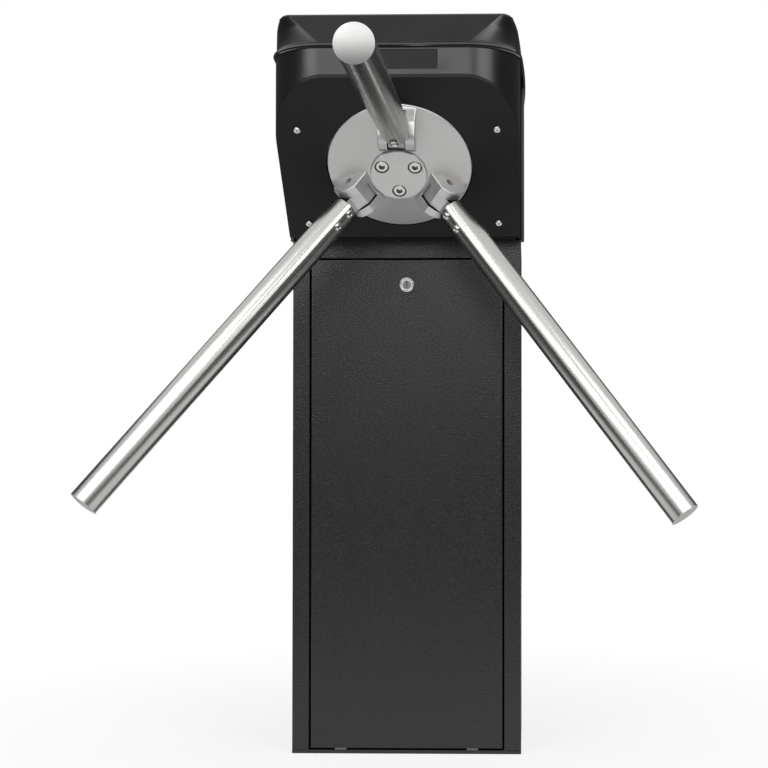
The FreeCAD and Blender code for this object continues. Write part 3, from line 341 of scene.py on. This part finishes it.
# Pieces
def arm_frame(arm):
    """Axes of an arm at rest: z runs out along the tube and y along its pin."""
    joint = JOINTS[f"arm_{arm}_drop"]
    pin = -Vector(joint["axis"])
    low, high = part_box(f"arm_end_cap_{arm}")
    out = ((low + high) / 2 - Vector(joint["pos_m"])).normalized()
    out = (out - pin * out.dot(pin)).normalized()
    across = pin.cross(out)
    turn = Matrix((across, pin, out)).transposed().to_4x4()
    return Matrix.Translation(joint["pos_m"]) @ turn


def dress(nodes, material):
    """Gives solids that keep their own shape a finish."""
    for node in nodes:
        slots = NODES[node].data.materials
        slots.clear()
        slots.append(material)


def between_cheeks(face):
    """Picks out the flanks of a lug and the walls of a fork's slot, in the narrow gaps of the folding joints:
    these take a dark finish as painted shade.
    """
    # The slot's walls stand within this of the arm's middle, and the fork's outer faces farther out
    reach = 13 * MM
    for arm in ARMS:
        joint = JOINTS[f"arm_{arm}_drop"]
        pin = Vector(joint["axis"])
        aside = (face.calc_center_median() - Vector(joint["pos_m"])).dot(pin)
        if abs(face.normal.dot(pin)) > 0.98 and abs(aside) < reach:
            return True
    return False


def stand_in(node, shape, materials, crease):
    """Makes a shape the piece that shows in place of a solid, and lets it move with the solid's body."""
    mesh = bpy.data.meshes.new(f"{node}_softened")
    shape.to_mesh(mesh)
    shape.free()
    for material in materials:
        mesh.materials.append(material)
    mesh.shade_smooth()
    mesh.set_sharp_from_angle(angle=math.radians(crease))
    piece = bpy.data.objects.new(f"{node}_softened", mesh)
    bpy.context.scene.collection.objects.link(piece)
    # Large flat faces keep their own direction, so that no shade runs into them from a round beside them
    weigh = piece.modifiers.new("flat_faces", "WEIGHTED_NORMAL")
    weigh.keep_sharp = True
    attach(piece, NODES[node]["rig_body"])
    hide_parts(node)


def merged_copy(node):
    """A solid's faces, joined up and without the lines that cross flat ones."""
    shape = bmesh.new()
    shape.from_mesh(NODES[node].data)
    bmesh.ops.remove_doubles(shape, verts=shape.verts, dist=MERGE)
    bmesh.ops.dissolve_limit(shape, angle_limit=math.radians(0.6), verts=shape.verts, edges=shape.edges)
    return shape


def open_loops(shape):
    """The rims of an open shape, each as the edges that run round it."""
    left = [edge for edge in shape.edges if edge.is_boundary]
    loops = []
    while left:
        loop = [left.pop(0)]
        for edge in loop:
            near = [e for e in left if set(e.verts) & set(edge.verts)]
            left = [e for e in left if e not in near]
            loop.extend(near)
        loops.append(loop)
    return loops


def turned(outline, place):
    """A shape turned about its axis from a line of radii and heights, and put in its place."""
    shape = bmesh.new()
    verts = [shape.verts.new((radius, 0, height)) for radius, height in outline]
    edges = [shape.edges.new(pair) for pair in zip(verts, verts[1:])]
    bmesh.ops.spin(
        shape, geom=verts + edges, cent=(0, 0, 0), axis=(0, 0, 1), angle=math.tau, steps=48, use_merge=True
    )
    bmesh.ops.remove_doubles(shape, verts=shape.verts, dist=MERGE)
    bmesh.ops.recalc_face_normals(shape, faces=shape.faces)
    shape.transform(place)
    return shape


def soften(node, material, radius=0, chosen=None, segments=3, crease=28, slot_shade=None):
    """Stands a copy of a solid in for it, with chosen sharp edges rounded and its curves shaded smooth."""
    shape = merged_copy(node)
    if radius:
        sharp = [
            edge
            for edge in shape.edges
            if len(edge.link_faces) == 2
            and edge.calc_face_angle() > math.radians(crease)
            and (chosen is None or chosen(edge))
        ]
        bmesh.ops.bevel(
            shape,
            geom=sharp,
            offset=radius,
            offset_type="OFFSET",
            segments=segments,
            profile=0.5,
            affect="EDGES",
            clamp_overlap=False,
            material=-1,
        )
    # The faces in the joints' narrow gaps take the second finish, a dark painted shade
    if slot_shade:
        for face in shape.faces:
            face.material_index = int(between_cheeks(face))
    stand_in(node, shape, [material, slot_shade] if slot_shade else [material], crease)


def longer_than(millimetres):
    return lambda edge: edge.calc_length() > millimetres * MM


class TURNSTILE_OT_pillar(bpy.types.Operator):
    """Pillar, base plate and the tabs at the door's foot"""

    bl_idname = "turnstile.pillar"
    bl_label = "Pillar"

    def execute(self, context):
        scene = context.scene
        coat = powder_coat(scene.turnstile_colours.powder_coat)
        soften("pillar_shell", coat, scene.turnstile_edges.sheet_bend * 0.7, longer_than(20))
        dress(["base_plate"], coat)
        dress(["door_tab_left", "door_tab_right"], plain_metal("plated_tab", "#77767a", 0.4))
        return {"FINISHED"}


class TURNSTILE_OT_door(bpy.types.Operator):
    """Door panel and its lock"""

    bl_idname = "turnstile.door"
    bl_label = "Door"

    def execute(self, context):
        scene = context.scene
        coat = bpy.data.materials["textured_powder_coat"]
        soften("door_panel", coat, scene.turnstile_edges.sheet_bend, longer_than(100))
        chrome = satin_metal("chromed_lock", scene.turnstile_colours.chrome, gloss=0.26, grain=0.8)
        self.make_lock_ring(chrome)
        nickel = satin_metal("nickel_plug", scene.turnstile_colours.nickel, gloss=0.3, grain=0.8)
        soften("lock_plug", nickel, 0.35 * MM, self.is_plug_face, segments=2)
        dress(["lock_cam"], plain_metal("plated_cam", "#9a9a98", 0.35))
        return {"FINISHED"}

    def is_plug_face(self, edge):
        """The edges on the plug's front face, with its key slot."""
        return max(v.co.y for v in edge.verts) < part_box("lock_plug")[0].y + 0.1 * MM

    def make_lock_ring(self, material):
        """The lock's barrel: a neck through the door, and a head with a round lip and a groove inside it."""
        low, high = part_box("lock_barrel")
        plug_low, plug_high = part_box("lock_plug")
        bore = (plug_high.x - plug_low.x) / 2 + 0.05 * MM
        head = (high.x - low.x) / 2
        tip = high.y - low.y
        lip = 1.3 * MM
        neck = head - 2 * MM
        shoulder = tip - 3 * MM
        groove = tip - 1.6 * MM
        outline = [(bore, 0), (neck, 0), (neck, shoulder), (head, shoulder)]
        for step in range(9):
            angle = math.pi * step / 8
            outline.append((head - lip + lip * math.cos(angle), tip - lip + lip * math.sin(angle)))
        outline.extend([(head - 2 * lip, groove), (bore, groove), (bore, 0)])
        place = Matrix.Translation((0, high.y, (low.z + high.z) / 2)) @ Matrix.Rotation(math.pi / 2, 4, "X")
        stand_in("lock_barrel", turned(outline, place), [material], 40)


class TURNSTILE_OT_head(bpy.types.Operator):
    """Both halves of the head, the sloped panel with its screws, and the bare plate"""

    bl_idname = "turnstile.head"
    bl_label = "Head"

    def execute(self, context):
        scene = context.scene
        colours = scene.turnstile_colours
        edge = scene.turnstile_edges.moulding
        shell = moulded_shell("moulded_shell", colours.shell, gloss=0.3, peel=0.12)
        panel = moulded_shell("satin_panel", colours.panel, gloss=0.45, peel=0.08, shine=0.2)
        plate = moulded_shell("badge_plate", colours.badge, gloss=0.5, peel=0.05, shine=0.2)
        zinc = satin_metal("zinc_screw", colours.zinc, gloss=0.24, grain=0.6)
        soften("front_shell", shell, edge, longer_than(300))
        soften("rear_shell", shell, edge * 1.5, longer_than(100))
        soften("front_panel", panel, edge, longer_than(300))
        soften("badge_plate", plate, edge * 0.5)
        for number in (1, 2, 3, 4):
            soften(f"panel_screw_{number}", zinc)
        return {"FINISHED"}


class TURNSTILE_OT_lid(bpy.types.Operator):
    """Lid with its bead, and the hinge behind it"""

    bl_idname = "turnstile.lid"
    bl_label = "Lid"

    # The foot's bead and the wall of the cover above it
    BEAD = 5.75 * MM
    WALL = 3 * MM
    # How far the front leans back and the sides lean in, and the round shoulder along the sides
    LEAN = 23 * MM
    SIDE_LEAN = 3 * MM
    SHOULDER_HIGH = 19 * MM
    SHOULDER_WIDE = 8 * MM
    # The front corners at the top: how wide they are, and the angle of the crease beside the front
    CORNER = 10 * MM
    CREASE = math.radians(23)
    # The front corners at the foot lie within this depth
    CORNER_DEEP = 69.5 * MM

    def execute(self, context):
        low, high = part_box("lid_shell")
        bead_top = low.z + self.BEAD
        shape = merged_copy("lid_shell")
        # The bead and the foot stay as they are, and the cover is drawn up anew from the bead's top
        bmesh.ops.bisect_plane(
            shape,
            geom=shape.verts[:] + shape.edges[:] + shape.faces[:],
            plane_co=(0, 0, bead_top),
            plane_no=(0, 0, 1),
            clear_outer=True,
        )
        rims = sorted(open_loops(shape), key=lambda loop: max(v.co.x for edge in loop for v in edge.verts))
        self.raise_cover(shape, rims[-1], high.z, self.CORNER, context.scene.turnstile_edges.lid_rim)
        self.raise_cover(shape, rims[0], high.z - self.WALL, self.CORNER - self.WALL, 0)
        bmesh.ops.recalc_face_normals(shape, faces=shape.faces)
        if shape.calc_volume(signed=True) < 0:
            bmesh.ops.reverse_faces(shape, faces=shape.faces)
        for face in shape.faces:
            height = face.calc_center_median().z
            if height < bead_top:
                face.material_index = 1
            elif height > high.z - MM and face.normal.z > 0.9:
                face.material_index = 2
        rgb = context.scene.turnstile_colours.shell
        bead = moulded_shell("polished_bead", rgb, gloss=0.12, peel=0.02, shine=1.0)
        # A coarse grain keeps the top dark where it is seen at a low angle
        grained = moulded_shell("grained_lid_top", rgb, gloss=0.75, peel=0.3, shine=0.05)
        stand_in("lid_shell", shape, [bpy.data.materials["moulded_shell"], bead, grained], 28)
        dress(["lid_hinge_base", "lid_hinge_leaf"], plain_metal("hinge_steel", "#8c8c8e", 0.35))
        return {"FINISHED"}

    def raise_cover(self, shape, rim, top, corner, rounding):
        """Walls from a rim to a flat top: the front leans back, the sides bow in and the corners tighten."""
        foot = {vert for edge in rim for vert in edge.verts}
        level = max(vert.co.z for vert in foot)
        front = min(vert.co.y for vert in foot)
        flat = max(vert.co.x for vert in foot if vert.co.y < front + 5 * MERGE)
        side = max(vert.co.x for vert in foot if vert.co.y < front + self.CORNER_DEEP)
        end_flat = side - self.SIDE_LEAN - self.SHOULDER_WIDE - corner
        straight = 1 - self.SHOULDER_HIGH / (top - level)
        arc, bow, loop = (flat, front + side - flat, 0), 0, rim
        self.place_ring(foot, level, arc, arc, side - flat, 0)
        # One ring low down, where the creases start, and the others up the shoulder
        bends = [step / 6 for step in range(7)]
        shares = [straight * 0.2] + [straight + (1 - straight) * bend for bend in bends]
        for share in shares:
            bend = max(0, share - straight) / (1 - straight)
            next_bow = self.SIDE_LEAN * share + self.SHOULDER_WIDE * bend**2
            next_flat = flat + (end_flat - flat) * share
            crease = self.CREASE * share**0.5
            radius = (side - next_bow - next_flat) / (1 - math.sin(crease))
            next_y = front + self.LEAN * share + radius * math.cos(crease)
            next_arc = (next_flat - radius * math.sin(crease), next_y, crease)
            grown = bmesh.ops.extrude_edge_only(shape, edges=loop)["geom"]
            ring = {g for g in grown if isinstance(g, bmesh.types.BMVert)}
            loop = [g for g in grown if isinstance(g, bmesh.types.BMEdge) and ring.issuperset(g.verts)]
            self.place_ring(ring, level + (top - level) * share, arc, next_arc, radius, next_bow - bow)
            arc, bow = next_arc, next_bow
        bmesh.ops.edgeloop_fill(shape, edges=loop)
        if rounding:
            bmesh.ops.bevel(
                shape,
                geom=loop,
                offset=rounding,
                offset_type="OFFSET",
                segments=5,
                profile=0.5,
                affect="EDGES",
                material=-1,
            )

    def place_ring(self, ring, height, before, after, radius, inward):
        """Puts a ring of the cover at its height, and moves its front corners from one arc to the next.

        An arc is given by its centre and by the angle where it starts beside the front. It ends at the side.
        """
        quarter = math.pi / 2
        old_x, old_y, old_start = before
        new_x, new_y, new_start = after
        for vert in ring:
            way = math.copysign(1, vert.co.x)
            vert.co.z = height
            if vert.co.y < old_y:
                turn = math.atan2(abs(vert.co.x) - old_x, old_y - vert.co.y)
                part = (turn - old_start) / (quarter - old_start)
                turn = new_start + (quarter - new_start) * part
                vert.co.x = way * (new_x + radius * math.sin(turn))
                vert.co.y = new_y - radius * math.cos(turn)
            else:
                vert.co.x -= way * inward


class TURNSTILE_OT_hub(bpy.types.Operator):
    """Hub casting, its cap and screws, and the arm pins"""

    bl_idname = "turnstile.hub"
    bl_label = "Hub"

    def execute(self, context):
        scene = context.scene
        alloy = satin_metal("blasted_alloy", scene.turnstile_colours.alloy, gloss=0.56, grain=0.7)
        # A dark metal as painted shade in the narrow gaps between the lugs and the forks' slots
        slot_shade = plain_metal("painted_gap_shade", "#3c3b39", 0.5)
        soften("hub_casting", alloy, scene.turnstile_edges.casting, self.is_rim, crease=20, slot_shade=slot_shade)
        soften("hub_cap", alloy)
        steel = satin_metal("socket_screw", scene.turnstile_colours.zinc, gloss=0.22, grain=0.6)
        for number in (1, 2, 3):
            soften(f"cap_screw_{number}", steel)
        dress([f"arm_pin_{arm}" for arm in ARMS], plain_metal("ground_pin", "#9c9b9a", 0.3))
        return {"FINISHED"}

    def is_rim(self, edge):
        """The edges round the casting's rim."""
        inside_rim = 94.8 * MM
        axis = Vector(JOINTS["hub_spin"]["axis"])
        middle = Vector(JOINTS["hub_spin"]["pos_m"])
        return min((v.co - middle).cross(axis).length for v in edge.verts) > inside_rim


class TURNSTILE_OT_arms(bpy.types.Operator):
    """Lugs, tubes, end caps and screws of the three arms"""

    bl_idname = "turnstile.arms"
    bl_label = "Arms"

    def execute(self, context):
        scene = context.scene
        colours = scene.turnstile_colours
        alloy = bpy.data.materials["blasted_alloy"]
        # The same dark metal, painted shade in the gaps between the lugs and the forks
        slot_shade = bpy.data.materials["painted_gap_shade"]
        cap = satin_metal("turned_end_cap", colours.end_cap, gloss=0.5, grain=0.9)
        screw = bpy.data.materials["zinc_screw"]
        for arm in ARMS:
            tube = brushed_tube(f"brushed_tube_{arm}", colours.stainless, arm_frame(arm).inverted())
            soften(f"arm_lug_{arm}", alloy, slot_shade=slot_shade)
            soften(f"arm_tube_{arm}", tube)
            self.make_end_cap(arm, cap, scene.turnstile_edges.cap_dome)
            soften(f"arm_screws_{arm}", screw)
        return {"FINISHED"}

    def make_end_cap(self, arm, material, dome):
        """A plug in the tube's end with a low dome on it, turned about the arm."""
        node = f"arm_end_cap_{arm}"
        place = arm_frame(arm)
        to_arm = place.inverted()
        points = [to_arm @ vert.co for vert in NODES[node].data.vertices]
        inner, tip = min(p.z for p in points), max(p.z for p in points)
        radius = max(p.xy.length for p in points)
        seat = min(p.z for p in points if p.xy.length > radius - 0.1 * MM)
        plug = max(p.xy.length for p in points if p.z < seat - 0.1 * MM)
        bend = (radius**2 + dome**2) / (2 * dome)
        edge = math.asin(radius / bend)
        outline = [(0, inner), (plug, inner), (plug, seat), (radius, seat)]
        for step in range(13):
            angle = edge * (1 - step / 12)
            outline.append((bend * math.sin(angle), tip - bend * (1 - math.cos(angle))))
        stand_in(node, turned(outline, place), [material], 28)


class TURNSTILE_OT_works(bpy.types.Operator):
    """Shaft, bearings, lock work and electrics inside the head and the pillar"""

    bl_idname = "turnstile.works"
    bl_label = "Works"

    def execute(self, context):
        finishes = {
            "machine_steel": plain_metal("machined_steel", "#a3a3a5", 0.32),
            "bearing_block": plain_metal("cast_iron", "#58585a", 0.55),
            "damper_case": plain_metal("turned_aluminium", "#b4b4b6", 0.3),
            "coil_case": plain_plastic("coil_wrap", "#26262a", 0.5),
            "board": plain_plastic("lacquered_board", "#1d5a34", 0.35),
            "supply_case": plain_metal("folded_aluminium", "#9b9b9e", 0.4),
            "battery_case": plain_plastic("battery_case", "#3a3a3e", 0.45),
        }
        for node, slot in SLOTS.items():
            # The hinge and the arm pins have their finish already, and a hidden solid needs none
            finished = NODES[node].hide_render or node.startswith(("lid_hinge", "arm_pin"))
            if slot in finishes and not finished:
                dress([node], finishes[slot])
        return {"FINISHED"}


class TURNSTILE_OT_stage(bpy.types.Operator):
    """White ground, softboxes, dark flags and the camera of the photograph"""

    bl_idname = "turnstile.stage"
    bl_label = "Stage"

    def execute(self, context):
        studio = context.scene.turnstile_studio
        self.make_ground()
        self.make_flags()
        self.make_world(context.scene, studio.room_light)
        self.add_softbox("key_softbox", studio.key_power, (-1.2, -2.05, 1.95), (1.1, 1.4))
        self.add_softbox("fill_softbox", studio.fill_power, (1.45, -1.85, 1.9), (1.2, 1.4))
        self.add_softbox("front_softbox", studio.front_power, (0.0, -2.6, 1.6), (1.1, 0.9))
        self.add_camera(context.scene)
        context.scene.view_settings.view_transform = "Standard"
        return {"FINISHED"}

    def seen(self, tree):
        """1 on rays that show the ground: straight, in a mirror or through glass."""
        path = add_node(tree, "LightPath").outputs
        mirror = add_node(
            tree, "Math", {0: path["Is Camera Ray"], 1: path["Is Glossy Ray"]}, operation="MAXIMUM"
        ).outputs[0]
        glass = path["Is Transmission Ray"]
        return add_node(tree, "Math", {0: mirror, 1: glass}, operation="MAXIMUM").outputs[0]

    def add_sheet(self, name, corners, material):
        """A flat piece of the studio between four corners."""
        shape = bmesh.new()
        shape.faces.new([shape.verts.new(corner) for corner in corners])
        mesh = bpy.data.meshes.new(name)
        shape.to_mesh(mesh)
        shape.free()
        mesh.materials.append(material)
        sheet = bpy.data.objects.new(name, mesh)
        bpy.context.scene.collection.objects.link(sheet)
        return sheet

    def make_ground(self):
        material, tree = new_material("pale_ground")
        matt = add_node(tree, "BsdfDiffuse", {"Color": opaque(colour("#ececec"))}).outputs[0]
        white = add_node(tree, "Emission", {"Color": (1, 1, 1, 1), "Strength": 1.0}).outputs[0]
        place = add_node(tree, "TexCoord").outputs["Object"]
        away = add_node(tree, "VectorMath", {0: place}, operation="LENGTH").outputs["Value"]
        # Close to the object the ground keeps a share of its shade, and farther out it is white
        pale = add_node(
            tree, "MapRange", {"Value": away, "From Min": 0.25, "From Max": 0.9, "To Min": 0.8, "To Max": 1.0}
        ).outputs["Result"]
        share = add_node(tree, "Math", {0: self.seen(tree), 1: pale}, operation="MULTIPLY").outputs[0]
        mixed = add_node(tree, "MixShader", {"Fac": share, 1: matt, 2: white}).outputs[0]
        add_node(tree, "OutputMaterial", {"Surface": mixed})
        half = 8
        corners = [(-half, -half, 0), (half, -half, 0), (half, half, 0), (-half, half, 0)]
        self.add_sheet("ground", corners, material)

    def make_flags(self):
        """Grey cloth round the object for gloss and metal to mirror. It lights nothing and stays unseen."""
        material, tree = new_material("grey_cloth")
        cloth = add_node(tree, "Emission", {"Color": opaque(colour("#545454"))}).outputs[0]
        add_node(tree, "OutputMaterial", {"Surface": cloth})
        # Where the cloth hangs and lies, in metres
        front, back, half, near, low = -3.2, 2.2, 2.4, 1.15, 0.01
        top, back_top, camera_top = 2.2, 3.6, 0.75
        roof, roof_half, roof_front, roof_back = 3.0, 0.6, -1.35, -0.85
        flags = {
            "left_flag": [(-half, front, 0), (-half, back, 0), (-half, back, top), (-half, front, top)],
            "right_flag": [(half, front, 0), (half, back, 0), (half, back, top), (half, front, top)],
            "back_flag": [(-half, back, 0), (half, back, 0), (half, back, back_top), (-half, back, back_top)],
            "roof_flag": [
                (-roof_half, roof_front, roof),
                (roof_half, roof_front, roof),
                (roof_half, roof_back, roof),
                (-roof_half, roof_back, roof),
            ],
            "camera_flag": [
                (-half, front, 0),
                (half, front, 0),
                (half, front, camera_top),
                (-half, front, camera_top),
            ],
            "left_cloth": [(-half, front, low), (-near, front, low), (-near, back, low), (-half, back, low)],
            "right_cloth": [(near, front, low), (half, front, low), (half, back, low), (near, back, low)],
            "front_cloth": [(-near, front, low), (near, front, low), (near, -near, low), (-near, -near, low)],
        }
        for name, corners in flags.items():
            flag = self.add_sheet(name, corners, material)
            flag.visible_camera = flag.visible_diffuse = flag.visible_shadow = False

    def make_world(self, scene, room_light):
        world = bpy.data.worlds.new("studio")
        scene.world = world
        world.use_nodes = True
        tree = world.node_tree
        tree.nodes.clear()
        strength = add_node(
            tree, "MapRange", {"Value": self.seen(tree), "To Min": room_light, "To Max": 1.0}
        ).outputs["Result"]
        sky = add_node(tree, "Background", {"Color": (1, 1, 1, 1), "Strength": strength}).outputs[0]
        add_node(tree, "OutputWorld", {"Surface": sky})

    def add_softbox(self, name, watts, place, size):
        """A lamp with a soft front, turned to the middle of the object."""
        middle = Vector((0, -0.15, 0.65))
        light = bpy.data.lights.new(name, "AREA")
        light.energy = watts
        light.shape = "RECTANGLE"
        light.size, light.size_y = size
        lamp = bpy.data.objects.new(name, light)
        lamp.location = place
        lamp.rotation_euler = (middle - Vector(place)).to_track_quat("-Z", "Y").to_euler()
        bpy.context.scene.collection.objects.link(lamp)

    def add_camera(self, scene):
        lens = bpy.data.cameras.new("camera")
        lens.lens = CAMERA_LENS
        lens.sensor_width = 36
        lens.shift_x, lens.shift_y = CAMERA_SHIFT
        camera = bpy.data.objects.new("camera", lens)
        camera.location = CAMERA_PLACE
        camera.rotation_euler = (math.pi / 2 + CAMERA_TILT, 0, CAMERA_TURN)
        scene.collection.objects.link(camera)
        scene.camera = camera


OPERATORS = (
    TURNSTILE_OT_pillar,
    TURNSTILE_OT_door,
    TURNSTILE_OT_head,
    TURNSTILE_OT_lid,
    TURNSTILE_OT_hub,
    TURNSTILE_OT_arms,
    TURNSTILE_OT_works,
    TURNSTILE_OT_stage,
)


class TURNSTILE_PT_sidebar(bpy.types.Panel):
    """Lists the turnstile's pieces, colours and light"""

    bl_idname = "TURNSTILE_PT_sidebar"
    bl_label = "Turnstile"
    bl_space_type = "VIEW_3D"
    bl_region_type = "UI"
    bl_category = "Turnstile"

    def draw(self, context):
        for operator in OPERATORS:
            self.layout.operator(operator.bl_idname)
        for group in (
            context.scene.turnstile_colours,
            context.scene.turnstile_edges,
            context.scene.turnstile_studio,
        ):
            box = self.layout.box()
            for name in group.__annotations__:
                box.prop(group, name)


CLASSES = (TurnstileColours, TurnstileEdges, TurnstileStudio, *OPERATORS, TURNSTILE_PT_sidebar)


def register():
    for kind in CLASSES:
        bpy.utils.register_class(kind)
    bpy.types.Scene.turnstile_colours = PointerProperty(type=TurnstileColours)
    bpy.types.Scene.turnstile_edges = PointerProperty(type=TurnstileEdges)
    bpy.types.Scene.turnstile_studio = PointerProperty(type=TurnstileStudio)


def unregister():
    del bpy.types.Scene.turnstile_colours
    del bpy.types.Scene.turnstile_edges
    del bpy.types.Scene.turnstile_studio
    for kind in reversed(CLASSES):
        bpy.utils.unregister_class(kind)


def main():
    register()
    bpy.ops.turnstile.pillar()
    bpy.ops.turnstile.door()
    bpy.ops.turnstile.head()
    bpy.ops.turnstile.lid()
    bpy.ops.turnstile.hub()
    bpy.ops.turnstile.arms()
    bpy.ops.turnstile.works()
    bpy.ops.turnstile.stage()


if __name__ == "__main__":
    main()
